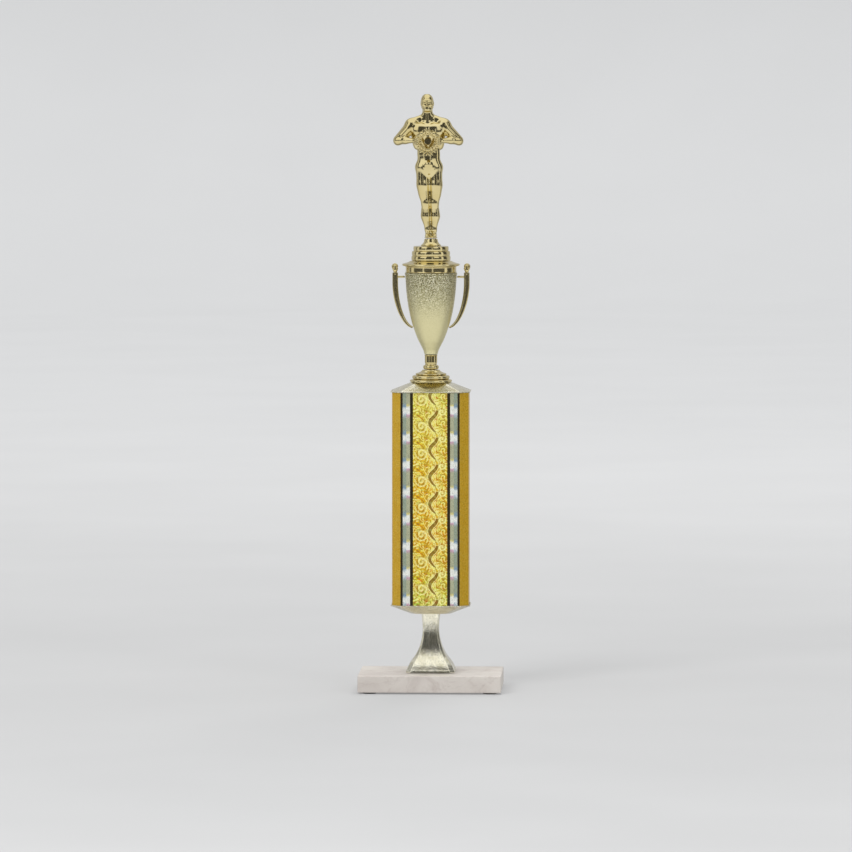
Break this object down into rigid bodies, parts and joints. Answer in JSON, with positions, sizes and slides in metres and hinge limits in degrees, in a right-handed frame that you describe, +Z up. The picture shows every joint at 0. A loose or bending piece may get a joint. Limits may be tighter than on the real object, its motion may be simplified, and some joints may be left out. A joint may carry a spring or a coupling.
{
  "type": "column trophy",
  "caption": "Tall trophy: marble base, flared riser, film-wrapped column, lidded two-handled cup and a standing figure with a wreath on top.",
  "frame": {"origin": "under the middle of the base, on the surface that the trophy stands on", "axes": "+Z up along the rod that clamps the stack, -Y out of the front of the column and of the figure, +X to the right of someone who faces the front"},
  "size_m": [0.124, 0.0888, 0.5173],
  "materials": {
    "marble": "polished white marble with soft grey and pinkish veins",
    "foot_pad": "matt black foam",
    "steel": "zinc-plated steel",
    "polished_gold": "moulded plastic with a bright gold metal coat",
    "satin_gold": "moulded plastic with a satin pale gold metal coat",
    "frosted_gold": "moulded plastic with a stippled pale gold metal coat",
    "film": "gold holographic film with silver and black stripes",
    "column_card": "plain off-white tube"
  },
  "bodies": {
    "stand": {"foot_pad_1": "foot_pad", "foot_pad_2": "foot_pad", "foot_pad_3": "foot_pad", "foot_pad_4": "foot_pad", "marble_base": "marble", "base_washer": "steel", "base_nut": "steel", "threaded_rod": "steel", "riser": "satin_gold", "bottom_cap": "satin_gold", "column_core": "column_card", "column_wrap": "film", "top_cap": "satin_gold", "cup_foot": "polished_gold", "cup_stem": "polished_gold", "cup_bowl": "frosted_gold", "cup_band": "polished_gold", "cup_lid": "polished_gold", "handle_left": "polished_gold", "handle_right": "polished_gold", "lid_washer": "steel", "lid_nut": "steel", "figure_collar": "polished_gold"},
    "topper": {"figure_plinth": "polished_gold", "figure": "polished_gold", "wreath": "polished_gold"}
  },
  "joints": [
    {"name": "figure_swivel", "type": "hinge", "parent": "stand", "child": "topper", "pos_m": [0, 0, 0.388], "axis": [0, 0, 1], "continuous": true}
  ]
}
